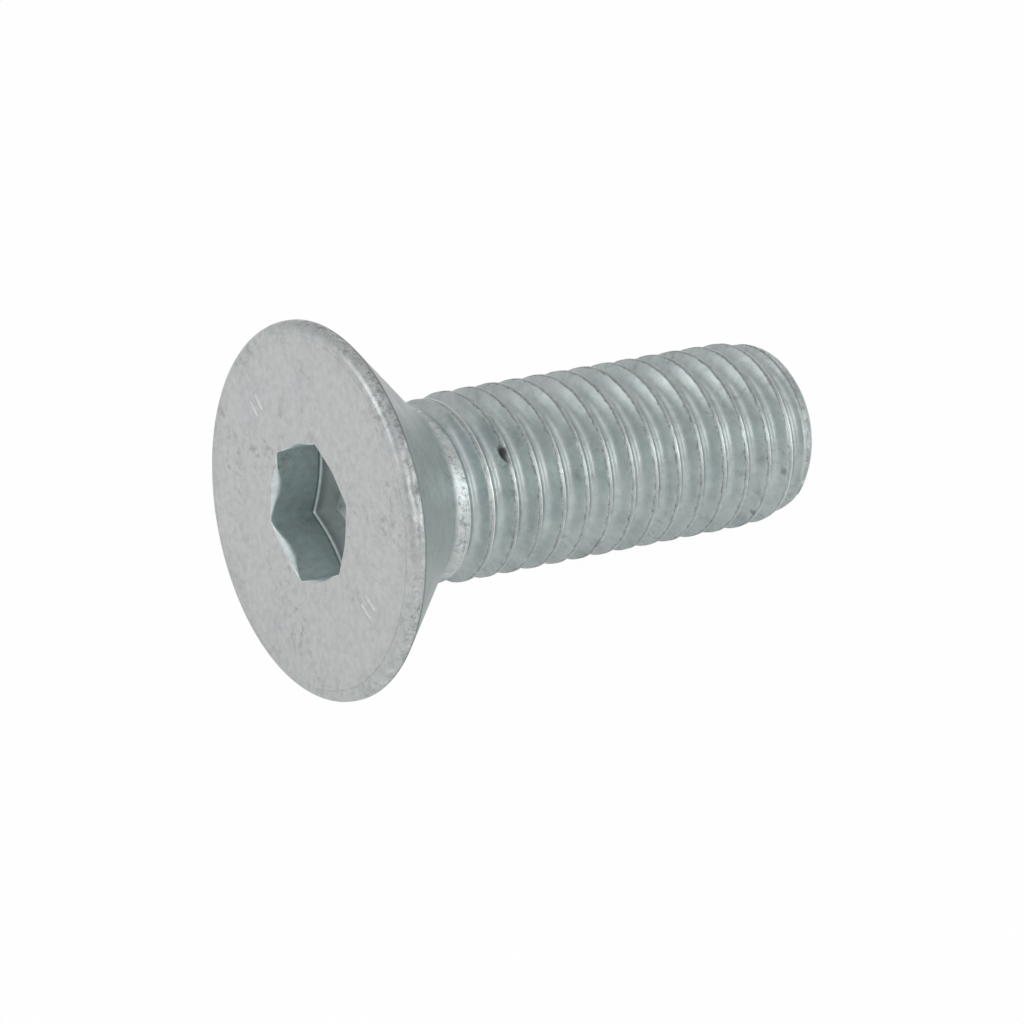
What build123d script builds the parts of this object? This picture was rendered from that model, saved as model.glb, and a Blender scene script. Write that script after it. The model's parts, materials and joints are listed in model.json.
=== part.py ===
from build123d import *
import math
import os

# Countersunk head screw with a hexagon socket and a metric coarse thread, cold headed and thread
# rolled from one steel blank. Millimetres. It is built standing on its face, with the axis along Z
# and the point up, and then laid down as it comes to rest. The thread has the true section, pitch,
# run-out and chamfer of the real one, and is turned as rings, one for each turn of the helix.

# Thread
thread_diameter = 11.84  # over the crests: 12 mm nominal, less the allowance for the plating
thread_pitch = 1.75
thread_flank_angle = 60.0  # between the two flanks of a groove
crest_share = 1 / 8  # the flat on a crest, as a share of the pitch
depth_share = 5 / 8  # the groove's depth, as a share of the full sharp triangle

# Shank and point
overall_length = 35.3
neck_diameter = 11.2  # the blank before rolling, left plain under the head
neck_length = 0.5  # plain neck, from the end of the cone to the first groove
neck_fillet = 1.0
groove_run_in = 1.2  # length over which the first groove reaches full depth
point_chamfer_length = 2.9
point_face_diameter = 9.3  # where the chamfer would meet the end, if it weren't rounded
point_end_round = 1.1

# Head
head_diameter = 23.5
head_land = 0.9  # cylindrical edge between the face and the cone
head_rim_round = 0.6
countersink_angle = 90.0

# Hexagon socket
socket_across_flats = 8.0
socket_depth = 3.1  # to where the corners of the hexagon end
socket_bottom_angle = 120.0  # the punch's conical nose
socket_lip_width = 0.2  # the lead-in that wears into the middle of each flat's edge
socket_lip_depth = 0.5
socket_clocking = 25.0  # turn of a corner from level, as it lies

# Sizes that follow from the ones above
crest_radius = thread_diameter / 2
neck_radius = neck_diameter / 2
head_radius = head_diameter / 2
point_face_radius = point_face_diameter / 2
flank_slope = math.tan(math.radians(thread_flank_angle / 2))
root_radius = crest_radius - depth_share * thread_pitch / (2 * flank_slope)
cone_slope = math.tan(math.radians(countersink_angle / 2))
cone_end = head_land + (head_radius - neck_radius) / cone_slope
groove_start = cone_end + neck_length
first_crest = groove_start + groove_run_in + thread_pitch / 2
chamfer_start = overall_length - point_chamfer_length
socket_corner_radius = socket_across_flats / math.sqrt(3)


def outline_of(*corners):
    """A flat outline in the plane of the axis, from (radius, height) corners."""
    with BuildSketch(Plane.XZ) as section:
        with BuildLine():
            Polyline(*corners, close=True)
        make_face()
    return section.sketch


def eased(before, corner, after, size):
    """A worn corner: two flats in place of it, which meet on a round of this size."""
    corner = Vector(corner)
    back = (Vector(before) - corner).normalized()
    onward = (Vector(after) - corner).normalized()
    half_turn = math.radians(180 - back.get_angle(onward)) / 2
    setback = size * math.tan(half_turn)
    inward = (back + onward).normalized() * size * (1 / math.cos(half_turn) - 1)
    points = (corner + back * setback, corner + inward, corner + onward * setback)
    return [(point.X, point.Y) for point in points]


def thread_outline():
    """The corners of the thread's grooves and crests, from the neck to the point's chamfer."""
    half_crest = crest_share * thread_pitch / 2
    half_foot = half_crest + (crest_radius - root_radius) * flank_slope
    corners = []
    height = first_crest
    while height < chamfer_start:
        corners += [
            (root_radius, height - half_foot),
            (crest_radius, height - half_crest),
            (crest_radius, height + half_crest),
            (root_radius, height + half_foot),
        ]
        height += thread_pitch
    return corners[:-1]


def turned_blank():
    """Head, cone, neck, thread and point in one outline, turned about the axis."""
    face_centre = (0, 0)
    face_edge = (head_radius, 0)
    land_edge = (head_radius, head_land)
    cone_foot = (neck_radius, cone_end)
    groove_edge = (neck_radius, groove_start)
    chamfer_edge = (crest_radius, chamfer_start)
    point_edge = (point_face_radius, overall_length)
    point_centre = (0, overall_length)
    outline = outline_of(
        face_centre,
        *eased(face_centre, face_edge, land_edge, head_rim_round),
        land_edge,
        cone_foot,
        groove_edge,
        *thread_outline(),
        *eased(chamfer_edge, point_edge, point_centre, point_end_round),
        point_centre,
    )
    neck = outline.vertices().sort_by_distance(Vector(neck_radius, 0, cone_end))[0]
    return revolve(fillet(neck, neck_fillet), Axis.Z)


def hexagon_socket():
    """What the punch takes out: a hexagon with a conical nose and a worn mouth."""
    nose_slope = math.tan(math.radians(socket_bottom_angle / 2))
    nose_end = socket_depth + socket_corner_radius / nose_slope
    wide = 1.1 * socket_corner_radius
    flat = socket_across_flats / 2
    prism = extrude(RegularPolygon(socket_corner_radius, 6, rotation=socket_clocking), nose_end)
    nose_outline = outline_of((0, 0), (wide, 0), (wide, nose_end - wide / nose_slope), (0, nose_end))
    mouth_outline = outline_of(
        (0, 0), (flat + socket_lip_width, 0), (flat, socket_lip_depth), (0, socket_lip_depth)
    )
    nose = revolve(nose_outline, Axis.Z)
    mouth = revolve(mouth_outline, Axis.Z)
    return (prism & nose) + mouth


def at_rest(screw):
    """Lays the screw down on the rim of its head and its last full crest, over the origin."""
    tilt = math.atan2(head_radius - crest_radius, chamfer_start - head_land)
    lying = Plane(origin=(0, 0, 0), x_dir=(0, 1, 0), z_dir=(math.cos(tilt), 0, -math.sin(tilt)))
    laid = screw.moved(lying.location)
    box = laid.bounding_box()
    return laid.moved(Pos(-box.center().X, -box.center().Y, -box.min.Z))


countersunk_screw = at_rest(turned_blank() - hexagon_socket())

os.makedirs("parts", exist_ok=True)
export_step(countersunk_screw, "parts/countersunk_screw.step")
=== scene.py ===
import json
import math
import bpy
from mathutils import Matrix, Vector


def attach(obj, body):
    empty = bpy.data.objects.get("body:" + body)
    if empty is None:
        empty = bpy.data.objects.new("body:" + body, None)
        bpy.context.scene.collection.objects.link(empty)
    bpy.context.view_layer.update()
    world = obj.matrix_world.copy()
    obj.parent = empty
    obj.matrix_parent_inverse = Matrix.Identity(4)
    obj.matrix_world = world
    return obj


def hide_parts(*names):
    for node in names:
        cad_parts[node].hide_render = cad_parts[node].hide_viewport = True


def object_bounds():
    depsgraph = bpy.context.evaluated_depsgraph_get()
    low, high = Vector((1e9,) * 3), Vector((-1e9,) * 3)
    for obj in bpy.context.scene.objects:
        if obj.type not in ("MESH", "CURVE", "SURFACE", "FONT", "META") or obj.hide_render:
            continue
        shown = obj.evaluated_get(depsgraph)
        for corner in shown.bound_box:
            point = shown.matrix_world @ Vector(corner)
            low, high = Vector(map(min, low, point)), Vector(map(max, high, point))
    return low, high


bl_info = {
    "name": "Countersunk Socket Screw",
    "version": (1, 0, 0),
    "blender": (4, 5, 0),
    "location": "View3D > Sidebar > Screw",
    "description": "Dresses a countersunk socket screw's solid with its thread and zinc plating",
    "category": "Add Mesh",
}

import bmesh
import bpy
import numpy as np
from bpy.props import FloatProperty, FloatVectorProperty, IntProperty, PointerProperty
from mathutils import Vector, noise

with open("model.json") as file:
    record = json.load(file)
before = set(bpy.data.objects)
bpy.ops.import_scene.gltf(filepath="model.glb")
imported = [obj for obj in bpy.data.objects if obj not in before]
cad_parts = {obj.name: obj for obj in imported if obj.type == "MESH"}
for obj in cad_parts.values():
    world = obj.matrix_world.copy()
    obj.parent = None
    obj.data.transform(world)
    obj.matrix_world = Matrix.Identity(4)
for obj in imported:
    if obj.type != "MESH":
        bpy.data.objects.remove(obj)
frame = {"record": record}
cad_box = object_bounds()

MM = 0.001
mounts = {mount["name"]: mount for mount in frame["record"]["mounts"]}
face_centre = Vector(mounts["hex_socket"]["pos_m"])
screw_axis = Vector(mounts["thread"]["axis"]).normalized()
level_axis = Vector((0, 1, 0))  # across the screw, as it lies
upper_axis = screw_axis.cross(level_axis)  # square to the screw, and up
thread_crest_radius = mounts["thread"]["dims"]["r_mm"] * MM
head_outer_radius = (cad_box[1][1] - cad_box[0][1]) / 2
screw_length = (Vector(mounts["point_face"]["pos_m"]) - face_centre).length


def linear(hex_colour):
    """An sRGB hex colour as the linear values that shaders and lamps take."""
    channels = [int(hex_colour[i : i + 2], 16) / 255 for i in (1, 3, 5)]
    return [c / 12.92 if c <= 0.04045 else ((c + 0.055) / 1.055) ** 2.4 for c in channels]


def length(name, description, default):
    """A size in metres, shown in the scene's own unit."""
    return FloatProperty(
        name=name, description=description, default=default, min=0, precision=5, unit="LENGTH"
    )


def angle(name, description, degrees):
    """An angle, kept in radians and shown in degrees."""
    return FloatProperty(
        name=name, description=description, default=math.radians(degrees), subtype="ANGLE"
    )


def colour(name, description, hex_colour):
    """A colour, written in sRGB."""
    return FloatVectorProperty(
        name=name,
        description=description,
        default=linear(hex_colour),
        subtype="COLOR",
        min=0,
        max=1,
    )


# Plain raised bars on the face, in pairs: degrees round from level, and half-length
MARKING_BARS = ((27, 0.6), (350, 0.4), (322, 0.4), (150, 0.45), (177, 0.6), (197, 0.6))
MARKING_DOTS = (10, 336, 243)  # degrees round from level
# Millimetres, but for the angle between a bar and the middle of its pair, in radians
BAR_CENTRE_RADIUS = 8.0
BAR_PAIR_ANGLE = 0.05
DOT_CENTRE_RADIUS = 7.9
DOT_HALF_LENGTH = 0.12
MARKING_HEIGHT = 0.085
MARKING_HALF_WIDTH = 0.24  # at the foot of its soft sides
MARKING_HALF_TOP = 0.02
# Radii between which the face needs fine rows, to carry the bars and dots
MARKED_BAND = (7.1, 8.9)
MARKED_BAND_ROWS = 24
FINE_COLUMNS = 3  # columns there, for each column elsewhere
# Dents from handling: millimetres from the face, degrees round, half-length round the screw,
# half-width along it, and depth
DENTS = (
    (11.1, 130, 0.6, 0.23, 0.16),
    (27.7, 160, 0.22, 0.11, 0.08),
    (30.6, 207, 0.22, 0.12, 0.08),
    (32.1, 177, 0.22, 0.12, 0.08),
)
NICK = 144  # degrees round to the nick in the rim
DENT_DARKENING = 8.75  # darker colour in a dent, for each millimetre of its depth
THREAD_TURNS = 14
WELD = 0.0015  # millimetres within which points are one
AXIS_GAP = 1e-4  # radius of a row that the weld closes to a point on the axis
SHARP_ANGLE = 32  # degrees above which an edge is drawn sharp
# Softboxes: name, place and side in metres, and power in watts
LAMPS = (
    ("back_left_softbox", (-0.66, 0.28, 0.38), 0.4, 0.6),
    ("front_right_softbox", (0.57, -0.52, 0.2), 0.5, 0.95),
    ("overhead_softbox", (-0.1, -0.1, 0.8), 0.5, 0.25),
    ("front_fill", (-0.28, -0.6, 0.46), 0.4, 0.55),
)
ROOM_LIGHT = 0.55  # strength of the even light from all round
FLOOR_HALF_WIDTH = 2.0
# Shares of plain white in the floor, for what the camera sees and what reflections see
FLOOR_WHITE_SEEN = 0.98
FLOOR_WHITE_REFLECTED = 0.3


class ScrewShape(bpy.types.PropertyGroup):
    """Sizes of the forged head and the rolled thread."""

    crest_radius: length("Crest radius", "Thread radius over the crests", thread_crest_radius)
    pitch: length("Pitch", "Distance from one crest to the next", 1.75 * MM)
    crest_width: length("Crest width", "Flat that rolling leaves on the crests", 0.3 * MM)
    thread_depth: length("Thread depth", "From the crests down to the roots", 0.79 * MM)
    flank_angle: angle("Flank angle", "Between the two flanks of a groove", 60)
    neck_radius: length("Neck radius", "Plain blank under the head", 5.6 * MM)
    neck_fillet: length("Neck fillet", "Round between the cone and the neck", 1.0 * MM)
    thread_start: length("Thread start", "From the face to the first groove", 7.9 * MM)
    overall_length: length("Length", "From the face to the end of the point", screw_length)
    head_radius: length("Head radius", "Largest radius, round the face", head_outer_radius)
    head_land: length("Head land", "Straight edge between face and cone", 0.9 * MM)
    rim_round: length("Rim round", "Worn round between the face and the land", 0.68 * MM)
    across_flats: length("Across flats", "Width of the hexagon socket", 8.0 * MM)
    socket_depth: length("Socket depth", "To where the hexagon's corners end", 3.05 * MM)
    socket_clocking: angle("Socket clocking", "Turn of one corner up from level", 25)
    lip_width: length("Lip width", "Worn lead-in, at the middle of each flat", 0.2 * MM)
    lip_depth: length("Lip depth", "How far down each flat the lead-in reaches", 0.5 * MM)
    columns: IntProperty(
        name="Columns", description="Mesh columns round the screw", default=216, min=72
    )


class ScrewFinish(bpy.types.PropertyGroup):
    """Colours of the zinc plating."""

    zinc: colour("Zinc", "Clean bright plating", "#D1DBDA")
    dull_zinc: colour("Dull zinc", "Plating that has dulled in patches", "#C3CECD")
    face: colour("Face", "The face, scuffed to a more neutral grey", "#DADCDB")
    # Also the colour of a painted highlight along the crests, and of painted highlight on the
    # raised bars and round the neck
    burnish_and_highlight: colour("Burnished crests", "Plating rubbed bright on the crests", "#F0F3F0")
    # Lighter zinc, used as painted light on the socket's walls and lead-in and round the neck
    painted_light_zinc: colour("Fresh plating", "Plating inside the socket, where nothing rubs", "#F0FAFA")
    # Also the colour of painted shade in the socket, along the land's edge, on the cone and along
    # the crests
    grime_and_shade: colour("Grime", "Dark specks where plating chipped or dirt lodged", "#4C5150")
    tint: colour("Passivation tint", "Faint lilac blue of the clear passivation", "#C2C6D8")


class StudioStage(bpy.types.PropertyGroup):
    """The plain floor, the lamps and the camera."""

    camera_azimuth: angle("Azimuth", "Camera's turn round the screw", -32.786)
    camera_elevation: angle("Elevation", "Camera's height above level", 35.172)
    camera_distance: length("Distance", "From the camera to the point it looks at", 313.0 * MM)
    camera_aim: FloatVectorProperty(
        name="Aim",
        description="Point that the camera looks at",
        default=(-2.96 * MM, -1.57 * MM, 7.51 * MM),
        subtype="TRANSLATION",
        unit="LENGTH",
    )
    focal_length: FloatProperty(
        name="Focal length", description="Camera lens, in millimetres", default=177.05, min=1
    )
    floor: colour("Floor", "Pale paper under the screw", "#F7F7F7")


def smooth_step(low, high, value):
    """0 below low, 1 above high, with a smooth rise between them."""
    t = np.clip((value - low) / (high - low), 0, 1)
    return t * t * (3 - 2 * t)


def soft_min(a, b, blend):
    """The lesser of a and b, with their crossing rounded over this blend."""
    h = np.clip(0.5 + 0.5 * (b - a) / blend, 0, 1)
    return b * (1 - h) + a * h - blend * h * (1 - h)


def soft_max(a, b, blend):
    """The greater of a and b, with their crossing rounded over this blend."""
    return -soft_min(-a, -b, blend)


def arc(centre_x, centre_r, radius, start, end, steps):
    """Points (x, r) of an arc in the plane of the axis, from start to end degrees."""
    turns = np.radians(np.linspace(start, end, steps))
    return [(centre_x + radius * math.sin(t), centre_r + radius * math.cos(t)) for t in turns]


class TurnedMesh:
    """Rows of points round the axis, each joined to the next. Sizes here are in millimetres."""

    def __init__(self, columns, start_angle):
        self.columns = columns
        self.start = start_angle
        self.points = []
        self.wraps = []
        self.looks = {"wear": [], "matt": [], "rough": [], "dirt": [], "clean": []}
        self.faces = []
        self.last_row = None

    def angles(self, columns=None):
        """The columns' angles, with the first repeated a turn on, to close the row."""
        return self.start + np.linspace(0, 2 * math.pi, (columns or self.columns) + 1)

    def add_row(self, x, r, phase=0.5, **looks):
        """Adds a row at these axial positions and radii, and joins it to the one before."""
        size = max(np.size(x), np.size(r), self.columns + 1)
        turn = self.angles(size - 1)
        x, r, phase = (np.broadcast_to(value, size) for value in (x, r, phase))
        first = len(self.points)
        self.points += zip(x, r * np.cos(turn), r * np.sin(turn))
        self.wraps += zip(turn / (2 * math.pi), phase)
        for name, values in self.looks.items():
            values += list(np.broadcast_to(looks.get(name, 0.0), size))
        row = np.arange(first, first + size)
        if self.last_row is not None:
            self.join(self.last_row, row)
        self.last_row = row

    def join(self, a, b):
        """Quads between two rows, or fans where one row has three times the other's columns."""
        if len(a) == len(b):
            self.faces += zip(a[:-1], a[1:], b[1:], b[:-1])
            return
        coarse, fine = (a, b) if len(a) < len(b) else (b, a)
        for i in range(len(coarse) - 1):
            first, second, third, fourth = fine[FINE_COLUMNS * i : FINE_COLUMNS * (i + 1) + 1]
            self.faces.append((coarse[i], first, second))
            self.faces.append((coarse[i], second, third, coarse[i + 1]))
            self.faces.append((coarse[i + 1], third, fourth))

    def object(self, name):
        """The finished mesh in the screw's place, welded, with outward faces."""
        axes = np.array([screw_axis, level_axis, upper_axis])
        placed = np.array(self.points) * MM @ axes + np.array(face_centre)
        mesh = bpy.data.meshes.new(name)
        mesh.from_pydata(placed.tolist(), [], [[int(i) for i in face] for face in self.faces])
        for look, values in self.looks.items():
            layer = mesh.attributes.new(look, "FLOAT", "POINT")
            layer.data.foreach_set("value", np.array(values, dtype=np.float32))
        corners = np.empty(len(mesh.loops), dtype=np.int32)
        mesh.loops.foreach_get("vertex_index", corners)
        wrap = mesh.uv_layers.new(name="wrap")
        wrap.uv.foreach_set("vector", np.array(self.wraps, dtype=np.float32)[corners].ravel())
        build = bmesh.new()
        build.from_mesh(mesh)
        bmesh.ops.remove_doubles(build, verts=build.verts, dist=WELD * MM)
        bmesh.ops.recalc_face_normals(build, faces=build.faces)
        closed = all(len(edge.link_faces) == 2 for edge in build.edges)
        build.to_mesh(mesh)
        build.free()
        if not closed:
            raise RuntimeError(f"the surface of {name} isn't closed")
        mesh.shade_smooth()
        mesh.set_sharp_from_angle(angle=math.radians(SHARP_ANGLE))
        screw = bpy.data.objects.new(name, mesh)
        bpy.context.scene.collection.objects.link(screw)
        return screw


def hexagon_radius(turn, across_flats, clocking):
    """Distance from the axis to the hexagon's wall, with its corners slightly rounded."""
    side = math.radians(60)
    from_flat = (turn - clocking) % side - side / 2
    here = across_flats / 2 / np.cos(from_flat)
    beyond = across_flats / 2 / np.cos(side - np.abs(from_flat))
    return soft_min(here, beyond, 0.08), np.cos(3 * from_flat) ** 2


def socket_rows(mesh, shape):
    """The punched socket, from the tip of its tapered nose out to the rim of its mouth."""
    wall, flatness = hexagon_radius(mesh.angles(), shape.across_flats / MM, shape.socket_clocking)
    corner = shape.across_flats / MM / math.sqrt(3)
    floor_slope, nose_inset, nose_drop, nose_slope = 0.33, 0.75, 1.3, 0.5
    floor = shape.socket_depth / MM + (corner - wall) * floor_slope
    nose_edge = wall - nose_inset
    nose_edge_depth = floor + nose_drop
    tip = float((nose_edge_depth + nose_edge * nose_slope).mean())
    # The nose and floor are darkened as painted shade; the walls, a thin band where they meet the
    # floor, and the lead-in are lightened as painted light
    for share in np.linspace(0.0, 1, 9):
        mesh.add_row(tip + (nose_edge_depth - tip) * share, nose_edge * share + AXIS_GAP, dirt=0.5)
    mesh.add_row(floor + 0.6, wall - 0.34, dirt=0.8, clean=0.4)
    mesh.add_row(floor + 0.22, wall - 0.12, dirt=1.0)
    mesh.add_row(floor + 0.1, wall - 0.06, dirt=0.2, clean=0.5)
    mesh.add_row(floor + 0.06, wall - 0.03, dirt=0.2, clean=0.5)
    mesh.add_row(floor - 0.02, wall, dirt=0.8)
    mesh.add_row(floor - 0.12, wall, clean=0.8)
    lip = 0.04 + shape.lip_depth / MM * flatness
    for share in (0.05, 0.25, 0.5, 0.75, 0.95):
        mesh.add_row(floor + (lip - floor) * share, wall, clean=1.0)
    mesh.add_row(lip, wall + 0.004, wear=0.4, clean=1.0)
    mouth = wall + 0.03 + shape.lip_width / MM * flatness
    mesh.add_row(lip * 0.5, wall + (mouth - wall) * 0.42, wear=0.5, clean=1.0)
    mesh.add_row(0.02 + lip * 0.06, mouth, wear=0.6, clean=1.0)
    mesh.add_row(0.0, mouth + 0.05, wear=0.3, matt=1.0)
    mesh.add_row(0.0, mouth + 0.25, matt=1.0)


def bar_height(y, z, place, turn, reach):
    """Height of a raised bar with soft sides, over the face, from its place, turn and reach."""
    dy, dz = y - place[0] * math.cos(place[1]), z - place[0] * math.sin(place[1])
    along = dy * math.cos(turn) + dz * math.sin(turn)
    across = dz * math.cos(turn) - dy * math.sin(turn)
    outside = np.hypot(np.maximum(np.abs(along) - reach, 0), across)
    return MARKING_HEIGHT * (1 - smooth_step(MARKING_HALF_TOP, MARKING_HALF_WIDTH, outside))


def face_rows(mesh):
    """The flat face, with plain raised bars and dots on fine rows."""
    fine = mesh.angles(FINE_COLUMNS * mesh.columns)
    for radius in (5.2, 5.9):
        mesh.add_row(0.0, radius, matt=1.0)
    for radius in np.linspace(*MARKED_BAND, MARKED_BAND_ROWS):
        y, z = radius * np.cos(fine), radius * np.sin(fine)
        height = np.zeros_like(fine)
        for degrees, reach in MARKING_BARS:
            turn = math.radians(degrees)
            for side in (-BAR_PAIR_ANGLE, BAR_PAIR_ANGLE):
                place = (BAR_CENTRE_RADIUS, turn + side)
                height = np.maximum(height, bar_height(y, z, place, turn, reach))
        for degrees in MARKING_DOTS:
            place = (DOT_CENTRE_RADIUS, math.radians(degrees))
            height = np.maximum(height, bar_height(y, z, place, 0, DOT_HALF_LENGTH))
        # The bars are lightened in step with their height, partly as rubbing and partly as painted
        # highlight
        mesh.add_row(-height, radius, matt=1.0, wear=2 * height)
    for radius in (9.9, 10.3, 10.7):
        mesh.add_row(0.0, radius, matt=1.0, rough=0.3 * (radius - 9.9))


def head_rows(mesh, shape):
    """Rim, land, cone and neck, down to where the thread starts."""
    outer, land, rim = shape.head_radius / MM, shape.head_land / MM, shape.rim_round / MM
    neck, fillet = shape.neck_radius / MM, shape.neck_fillet / MM
    nick = np.exp(-(((mesh.angles() - math.radians(NICK)) * 45) ** 2))
    handled = np.clip(np.cos(mesh.angles() - math.radians(NICK + 20)) + 0.4, 0, 1)
    mesh.add_row(0.0, outer - rim - 0.2, matt=1.0, rough=0.1)
    mesh.add_row(0.0, outer - rim - 0.1, matt=0.9, rough=0.3, dirt=0.25 * handled)
    for x, r in arc(rim, outer - rim, rim, -90, 0, 9):
        rough = 0.35 + 0.65 * smooth_step(0, rim, x)
        mesh.add_row(x, r - 0.12 * nick * x / rim, wear=0.2, matt=0.6, rough=rough, dirt=nick * x)
    edge = 0.12
    run = edge * math.tan(math.radians(22.5))
    mesh.add_row(land - 2 * run, outer - 0.08 * nick, wear=0.6, rough=1.0, dirt=0.1 + 0.6 * nick)
    # The small round from the land into the cone is darkened as a thin line of painted shade
    for x, r in arc(land - run, outer - edge, edge, 0, 45, 4):
        mesh.add_row(x, r, wear=0.2, rough=0.3, dirt=0.8)
    cone_end = land + outer - neck
    run = fillet * math.tan(math.radians(22.5))
    fillet_x = cone_end + run
    fillet_start = fillet_x - fillet * math.sin(math.radians(45))
    # The cone is darkened a little as painted shade, most near the land
    for x in np.linspace(land + 0.2, fillet_start - 0.2, 14):
        mesh.add_row(x, outer - (x - land), dirt=0.28 - 0.02 * x)
    # Round the fillet the colour is lightened as painted highlight over a rough band, and the
    # cone's painted shade fades out
    for turn in np.radians(np.linspace(45, 0, 7)):
        x, r = fillet_x - fillet * math.sin(turn), neck + fillet * (1 - math.cos(turn))
        worn_and_lit = smooth_step(cone_end - 0.1, cone_end + 0.4, x)
        mesh.add_row(x, r, rough=worn_and_lit, wear=0.8 * worn_and_lit, clean=0.45 * worn_and_lit, dirt=0.2 * (1 - worn_and_lit))


def point_profile(shape):
    """The rounded point: a wide shoulder, then a tight round into the flat end."""
    crest, end = shape.crest_radius / MM, shape.overall_length / MM
    shoulder, edge, lean = 7.0, 2.0, 23.6
    edge_x = end - edge
    shoulder_end = edge_x + edge * math.sin(math.radians(lean))
    shoulder_x = shoulder_end - shoulder * math.sin(math.radians(lean))
    edge_r = crest - shoulder + (shoulder - edge) * math.cos(math.radians(lean))
    return shoulder_x, shoulder, edge_x, edge_r, edge, lean


def thread_radius(x, turns, shape):
    """The rolled thread's radius, how near it is to a crest, and the phase along the pitch."""
    pitch, crest = shape.pitch / MM, shape.crest_radius / MM
    neck, start = shape.neck_radius / MM, shape.thread_start / MM
    slope = math.tan(shape.flank_angle / 2)
    root = crest - shape.thread_depth / MM
    phase = x / pitch - turns - 1e-6  # a hair off, so that no row falls between two crests
    crest_x = pitch * (np.round(phase) + turns)
    root_x = pitch * (np.floor(phase) + 0.5 + turns)
    flank = crest - (np.abs(x - crest_x) - shape.crest_width / MM / 2) / slope
    shoulder_x, shoulder, *_ = point_profile(shape)
    reach = np.maximum(x - shoulder_x, 0)
    outline = crest - (shoulder - np.sqrt(shoulder**2 - reach**2))
    top = neck + (crest - neck) * smooth_step(start + 0.8, start + 2.0, crest_x)
    fade = smooth_step(shoulder_x + 2.0, shoulder_x + 3.4, root_x)
    bottom = neck + (root - neck) * smooth_step(start, start + 0.7, root_x)
    bottom = bottom + (outline - bottom) * fade
    top = np.minimum(top, outline)
    crest_round, root_round = 0.03, 0.42
    radius = soft_max(soft_min(flank, top, crest_round), bottom, root_round)
    return radius, 1 - smooth_step(0.03, 0.16, top - radius), phase


def thread_rows(mesh, shape):
    """The helical thread. Its rows follow the helix, and gather into level rows at both ends."""
    pitch = shape.pitch / MM
    turn = np.linspace(0, 1, mesh.columns + 1)
    helix_lead, first_root_turns = 0.035, 4.535  # the second from the face, in pitches
    helix_turns = mesh.start / (2 * math.pi) + turn + helix_lead
    first_root = pitch * (first_root_turns + mesh.start / (2 * math.pi))
    spread = (0, 0.08, 0.15, 0.22, 0.29, 0.35, 0.39, 0.41, 0.424, 0.5)
    spread += tuple(1 - share for share in spread[-2:0:-1])
    for share in spread:
        add_thread_row(mesh, shape, first_root + pitch * turn * share, helix_turns)
    for count in range(THREAD_TURNS):
        for share in spread:
            add_thread_row(mesh, shape, first_root + pitch * (count + share + turn), helix_turns)
    last = first_root + pitch * THREAD_TURNS
    for share in (*spread, 1):
        add_thread_row(mesh, shape, last + pitch * (turn + (1 - turn) * share), helix_turns)
    return last + pitch


def add_thread_row(mesh, shape, x, helix_turns):
    """One row of the thread, with the ragged crests that rolling leaves, and a few dents."""
    radius, crestness, phase = thread_radius(x, helix_turns, shape)
    turn = mesh.angles()
    outer = 6  # near enough the crests' radius, for the noise and the dents' lengths
    ragged = [ragged_edge(*place) for place in zip(x, outer * np.cos(turn), outer * np.sin(turn))]
    dirt = np.zeros_like(x)
    for dent_x, degrees, half_length, half_width, depth in DENTS:
        around = (turn - math.radians(degrees) + math.pi) % (2 * math.pi) - math.pi
        apart = np.hypot((x - dent_x) / half_width, around * outer / half_length)
        hollow = 1 - smooth_step(0.6, 1.1, apart + 0.5 * np.array(ragged))
        radius = radius - depth * hollow
        # Each dent is darkened in step with its depth
        dirt = np.maximum(dirt, DENT_DARKENING * depth * hollow)
    shoulder_x = point_profile(shape)[0]
    beyond = smooth_step(shoulder_x + 2.5, shoulder_x + 2.7, x)
    # Near the head the neck is lightened as painted highlight over a rough band
    neck = 1 - smooth_step(shape.thread_start / MM + 0.1, shape.thread_start / MM + 0.35, x)
    mesh.add_row(
        x,
        radius - 0.03 * crestness * np.abs(ragged),
        phase=phase,
        wear=np.maximum(crestness * (1 - beyond), 0.8 * neck),
        rough=np.maximum(beyond, neck),
        dirt=dirt,
        clean=0.45 * neck,
    )


def ragged_edge(x, y, z):
    """Noise for the crests, at about a millimetre and at a quarter of one."""
    coarse = noise.noise(Vector((x * 1.1, y * 1.1, z * 1.1)))
    fine = noise.noise(Vector((x * 4.1, y * 4.1, z * 4.1)))
    return coarse + 0.7 * fine


def point_rows(mesh, shape, thread_end):
    """The chamfered point beyond the thread, and its flat end."""
    shoulder_x, shoulder, edge_x, edge_r, edge, lean = point_profile(shape)
    crest = shape.crest_radius / MM
    shoulder_end = shoulder_x + shoulder * math.sin(math.radians(lean))
    if thread_end < shoulder_end:
        for x in np.linspace(thread_end, shoulder_end, 4)[1:-1]:
            mesh.add_row(x, crest - shoulder + math.sqrt(shoulder**2 - (x - shoulder_x) ** 2))
    first_sine = max(math.sin(math.radians(lean)), (thread_end - edge_x) / edge)
    first = math.degrees(math.asin(first_sine))
    for x, r in arc(edge_x, edge_r, edge, first + 4, 90, 10):
        mesh.add_row(x, r, rough=0.5)
    for radius in (0.85 * edge_r, 0.5 * edge_r, 0.2 * edge_r, AXIS_GAP):
        mesh.add_row(shape.overall_length / MM, radius)


def add_node(tree, kind, settings=None, **links):
    """Adds a node with its settings, and sets or links its inputs by name or number."""
    node = tree.nodes.new(kind)
    for name, value in (settings or {}).items():
        setattr(node, name, value)
    for name, value in links.items():
        key = int(name[1:]) if name[0] == "_" and name[1:].isdigit() else name.replace("_", " ")
        if isinstance(value, bpy.types.NodeSocket):
            tree.links.new(value, node.inputs[key])
        else:
            node.inputs[key].default_value = value
    return node


def new_material(name):
    """An empty node material and its tree."""
    material = bpy.data.materials.new(name)
    material.use_nodes = True
    material.node_tree.nodes.clear()
    return material, material.node_tree


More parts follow.
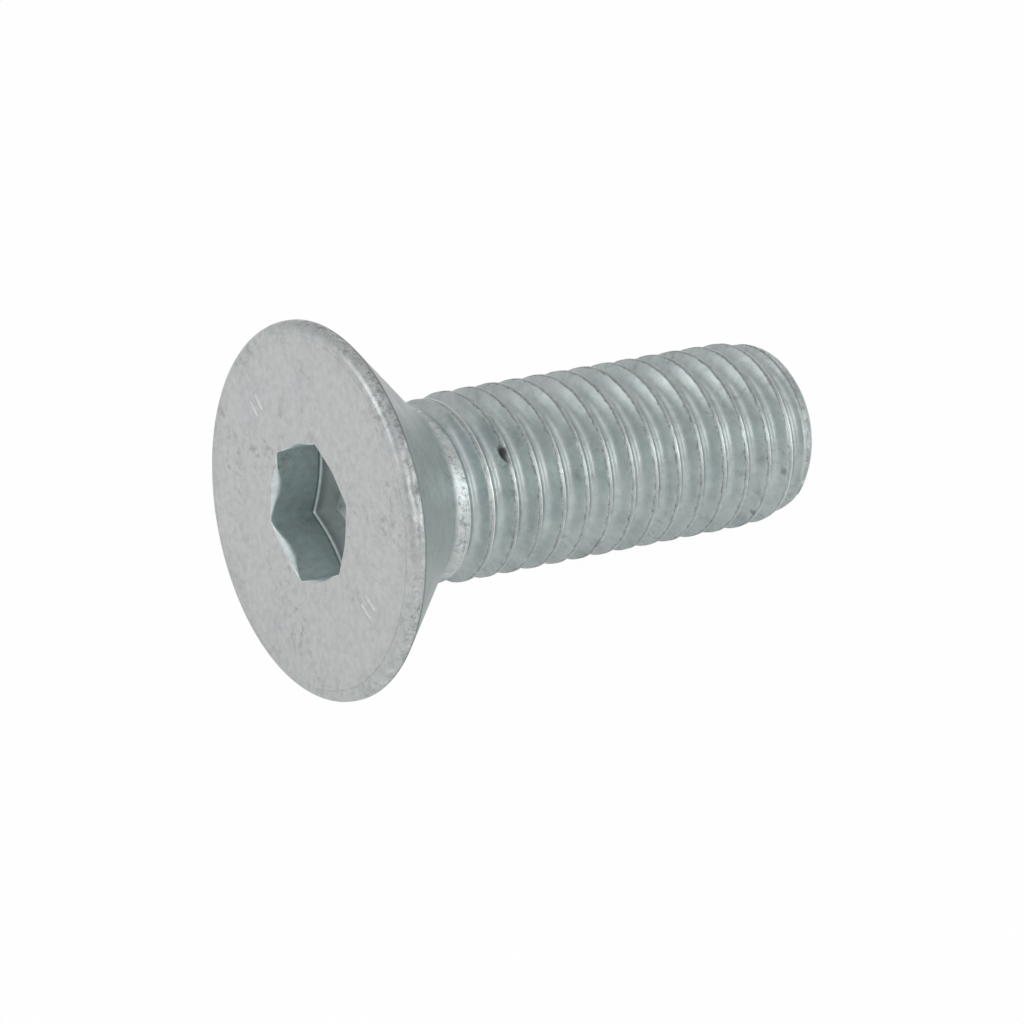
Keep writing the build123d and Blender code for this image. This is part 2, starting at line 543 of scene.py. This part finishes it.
def zinc_plated_steel(finish):
    """Cold headed and rolled steel, barrel plated with zinc and clear passivated."""
    material, tree = new_material("zinc-plated steel, barrel plated")
    place = add_node(tree, "ShaderNodeTexCoord").outputs["Object"]
    wrap = add_node(tree, "ShaderNodeUVMap", {"uv_map": "wrap"}).outputs["UV"]
    phase = add_node(tree, "ShaderNodeSeparateXYZ", Vector=wrap).outputs["Y"]

    def look(name):
        return add_node(tree, "ShaderNodeAttribute", {"attribute_name": name}).outputs["Fac"]

    def cloud(size_mm, detail=2.0, roughness=0.5, distortion=0.0):
        return add_node(
            tree,
            "ShaderNodeTexNoise",
            Vector=place,
            Scale=1000 / size_mm,
            Detail=detail,
            Roughness=roughness,
            Distortion=distortion,
        ).outputs["Fac"]

    def between(value, low, high, to_low=0.0, to_high=1.0):
        return add_node(
            tree,
            "ShaderNodeMapRange",
            {"clamp": True},
            Value=value,
            From_Min=low,
            From_Max=high,
            To_Min=to_low,
            To_Max=to_high,
        ).outputs[0]

    def mixed(share, a, b):
        node = add_node(tree, "ShaderNodeMix", {"data_type": "RGBA"}, _0=share)
        for key, value in ((6, a), (7, b)):
            if isinstance(value, bpy.types.NodeSocket):
                tree.links.new(value, node.inputs[key])
            else:
                node.inputs[key].default_value = (*value, 1)
        return node.outputs[2]

    def maths(operation, *values):
        inputs = {f"_{index}": value for index, value in enumerate(values)}
        return add_node(tree, "ShaderNodeMath", {"operation": operation}, **inputs).outputs[0]

    def product(*values):
        result = values[0]
        for value in values[1:]:
            result = maths("MULTIPLY", result, value)
        return result

    def line(centre, width):
        """A line along the helix, this far from a crest's middle, in shares of the pitch."""
        from_line = maths("SUBTRACT", maths("FRACT", maths("ADD", wavy, 0.5 - centre)), 0.5)
        return between(maths("ABSOLUTE", from_line), width, width * 0.4)

    wear, matt, rough, dirt, clean = (
        look(name) for name in ("wear", "matt", "rough", "dirt", "clean")
    )
    wavy = maths("ADD", phase, between(cloud(0.6, 2), 0.3, 0.7, -0.022, 0.022))
    # barrel plating dulls in soft patches, and in finer ones where parts rubbed together
    patches = between(cloud(2.6, 3), 0.4, 0.68)
    mottle = between(cloud(0.5, 3, 0.6), 0.38, 0.68)
    # specks gather where the deposit is thin or dirt has lodged
    clusters = between(cloud(3.4, 2), 0.45, 0.7)
    specks = product(between(cloud(0.55, 3, 0.7), 0.54, 0.68), clusters)
    # rubbed crests and rims are bright, and broken by dark chips
    chips = product(
        between(cloud(0.35, 6, 0.85, 0.3), 0.45, 0.62),
        between(cloud(1.5, 3), 0.38, 0.6, 0.35, 1.0),
    )
    scuffs = between(cloud(0.7, 4, 0.7, 0.4), 0.5, 0.66)
    smudges = product(between(cloud(1.3, 4, 0.65, 0.5), 0.56, 0.7), clusters)
    tinted = between(cloud(5.0, 1), 0.6, 0.8, 0.0, 0.3)
    base = mixed(patches, finish.zinc, finish.dull_zinc)
    base = mixed(matt, base, finish.face)
    base = mixed(tinted, base, finish.tint)
    # Lighter where rubbed, and as painted highlight on the raised bars and round the neck; this
    # mask also gates the painted lines along the crests
    base = mixed(product(wear, 0.15), base, finish.burnish_and_highlight)
    # Painted light: lighter zinc on the socket's walls and lead-in, and round the neck
    base = mixed(clean, base, finish.painted_light_zinc)
    base = mixed(product(mottle, 0.14), base, finish.grime_and_shade)
    base = mixed(product(smudges, 0.4), base, finish.grime_and_shade)
    base = mixed(product(specks, 0.32), base, finish.grime_and_shade)
    # a dark line along the head side of each crest: dirt in the rolling seam, broken into specks,
    # with painted shade of the crease; the crests' middles are dimmed with painted shade, and a
    # bright line along their other side is a painted highlight
    seam_and_crease_shade = product(line(-0.065, 0.035), wear, between(cloud(0.25, 4, 0.8), 0.42, 0.6, 0.1, 1.0))
    painted_crest_dimming = product(line(-0.02, 0.1), wear)
    painted_crest_highlight = product(line(0.085, 0.03), wear)
    base = mixed(product(painted_crest_dimming, 0.22), base, finish.grime_and_shade)
    base = mixed(product(painted_crest_highlight, 0.9), base, finish.burnish_and_highlight)
    base = mixed(product(seam_and_crease_shade, 0.65), base, finish.grime_and_shade)
    base = mixed(product(rough, chips, 0.8), base, finish.grime_and_shade)
    base = mixed(product(rough, scuffs, 0.7), base, finish.burnish_and_highlight)
    # Dirt, and painted shade: darkens the socket's nose and floor, a line from the land into the
    # cone, and the cone; also the dents, the nick and one side of the rim's edge
    base = mixed(product(dirt, 0.7), base, finish.grime_and_shade)
    grain = cloud(0.1, 2)
    dimples = cloud(0.5, 3)
    relief = maths("MULTIPLY_ADD", dimples, maths("MULTIPLY_ADD", rough, 4.0, 1.5), grain)
    bump = add_node(tree, "ShaderNodeBump", Strength=0.35, Distance=0.00002, Height=relief)
    shader = add_node(
        tree,
        "ShaderNodeBsdfPrincipled",
        Base_Color=base,
        Metallic=1.0,
        Roughness=between(patches, 0, 1, 0.36, 0.42),
        Normal=bump.outputs[0],
    )
    add_node(tree, "ShaderNodeOutputMaterial", Surface=shader.outputs[0])
    return material


def pale_paper(stage):
    """Matt white studio paper, which the camera sees as white but for the screw's shadow."""
    material, tree = new_material("matt white paper, seamless")
    matt = add_node(tree, "ShaderNodeBsdfDiffuse", Color=(*stage.floor, 1))
    white = add_node(tree, "ShaderNodeEmission", Color=(1, 1, 1, 1), Strength=1.0)
    path = add_node(tree, "ShaderNodeLightPath").outputs
    seen = add_node(
        tree,
        "ShaderNodeMath",
        {"operation": "MULTIPLY"},
        _0=path["Is Camera Ray"],
        _1=FLOOR_WHITE_SEEN,
    )
    share = add_node(
        tree,
        "ShaderNodeMath",
        {"operation": "MULTIPLY_ADD"},
        _0=path["Is Glossy Ray"],
        _1=FLOOR_WHITE_REFLECTED,
        _2=seen.outputs[0],
    )
    mix = add_node(
        tree, "ShaderNodeMixShader", _0=share.outputs[0], _1=matt.outputs[0], _2=white.outputs[0]
    )
    add_node(tree, "ShaderNodeOutputMaterial", Surface=mix.outputs[0])
    return material


class SCREW_OT_screw(bpy.types.Operator):
    """Build the plated screw and put it in place of its solid"""

    bl_idname = "screw.add_screw"
    bl_label = "Screw"

    def execute(self, context):
        shape = context.scene.screw_shape
        mesh = TurnedMesh(shape.columns, shape.socket_clocking)
        socket_rows(mesh, shape)
        face_rows(mesh)
        head_rows(mesh, shape)
        thread_end = thread_rows(mesh, shape)
        point_rows(mesh, shape, thread_end)
        screw = mesh.object("plated_screw")
        screw.data.materials.append(zinc_plated_steel(context.scene.screw_finish))
        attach(screw, "root")
        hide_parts("countersunk_screw")
        return {"FINISHED"}


class SCREW_OT_stage(bpy.types.Operator):
    """Build the floor, the lamps and the camera"""

    bl_idname = "screw.add_stage"
    bl_label = "Stage"

    def execute(self, context):
        stage = context.scene.studio_stage
        if stage.camera_distance <= 0:
            raise RuntimeError("the camera has no distance from its aim")
        self.add_floor(context.scene, stage)
        self.add_lamps(context.scene)
        self.add_camera(context.scene, stage)
        context.scene.view_settings.view_transform = "Standard"
        return {"FINISHED"}

    def add_floor(self, scene, stage):
        half = FLOOR_HALF_WIDTH
        mesh = bpy.data.meshes.new("floor")
        corners = [(-half, -half, 0), (half, -half, 0), (half, half, 0), (-half, half, 0)]
        mesh.from_pydata(corners, [], [(0, 1, 2, 3)])
        mesh.materials.append(pale_paper(stage))
        floor = bpy.data.objects.new("floor", mesh)
        scene.collection.objects.link(floor)

    def add_lamps(self, scene):
        world = bpy.data.worlds.new("studio")
        scene.world = world
        world.use_nodes = True
        tree = world.node_tree
        tree.nodes.clear()
        path = add_node(tree, "ShaderNodeLightPath")
        room = add_node(tree, "ShaderNodeBackground", Color=(1, 1, 1, 1), Strength=ROOM_LIGHT)
        white = add_node(tree, "ShaderNodeBackground", Color=(1, 1, 1, 1), Strength=1.0)
        mix = add_node(
            tree,
            "ShaderNodeMixShader",
            _0=path.outputs["Is Camera Ray"],
            _1=room.outputs[0],
            _2=white.outputs[0],
        )
        add_node(tree, "ShaderNodeOutputWorld", Surface=mix.outputs[0])
        for name, place, size, power in LAMPS:
            self.add_lamp(scene, name, place, size, power)

    def add_lamp(self, scene, name, place, size, power):
        lamp = bpy.data.lights.new(name, "AREA")
        lamp.shape = "SQUARE"
        lamp.size = size
        lamp.energy = power
        holder = bpy.data.objects.new(name, lamp)
        holder.location = place
        holder.rotation_euler = Vector(place).to_track_quat("Z", "Y").to_euler()
        scene.collection.objects.link(holder)

    def add_camera(self, scene, stage):
        lens = bpy.data.cameras.new("camera")
        lens.lens = stage.focal_length
        lens.clip_start = 0.01
        camera = bpy.data.objects.new("camera", lens)
        turn, rise = stage.camera_azimuth, stage.camera_elevation
        back = Vector(
            (
                math.sin(turn) * math.cos(rise),
                -math.cos(turn) * math.cos(rise),
                math.sin(rise),
            )
        )
        camera.location = Vector(stage.camera_aim) + back * stage.camera_distance
        camera.rotation_euler = back.to_track_quat("Z", "Y").to_euler()
        scene.collection.objects.link(camera)
        scene.camera = camera


class SCREW_PT_panel(bpy.types.Panel):
    """Sizes, finish and stage of the screw"""

    bl_idname = "SCREW_PT_panel"
    bl_label = "Countersunk Screw"
    bl_space_type = "VIEW_3D"
    bl_region_type = "UI"
    bl_category = "Screw"

    def draw(self, context):
        scene = context.scene
        for group in (scene.screw_shape, scene.screw_finish, scene.studio_stage):
            box = self.layout.box()
            for name in group.__annotations__:
                box.prop(group, name)
        for operator in (SCREW_OT_screw, SCREW_OT_stage):
            self.layout.operator(operator.bl_idname)


CLASSES = (ScrewShape, ScrewFinish, StudioStage, SCREW_OT_screw, SCREW_OT_stage, SCREW_PT_panel)


def register():
    for cls in CLASSES:
        bpy.utils.register_class(cls)
    bpy.types.Scene.screw_shape = PointerProperty(type=ScrewShape)
    bpy.types.Scene.screw_finish = PointerProperty(type=ScrewFinish)
    bpy.types.Scene.studio_stage = PointerProperty(type=StudioStage)


def unregister():
    for name in ("screw_shape", "screw_finish", "studio_stage"):
        delattr(bpy.types.Scene, name)
    for cls in reversed(CLASSES):
        bpy.utils.unregister_class(cls)


def main():
    """Builds the screw and its stage."""
    register()
    bpy.ops.screw.add_screw()
    bpy.ops.screw.add_stage()


if __name__ == "__main__":
    main()
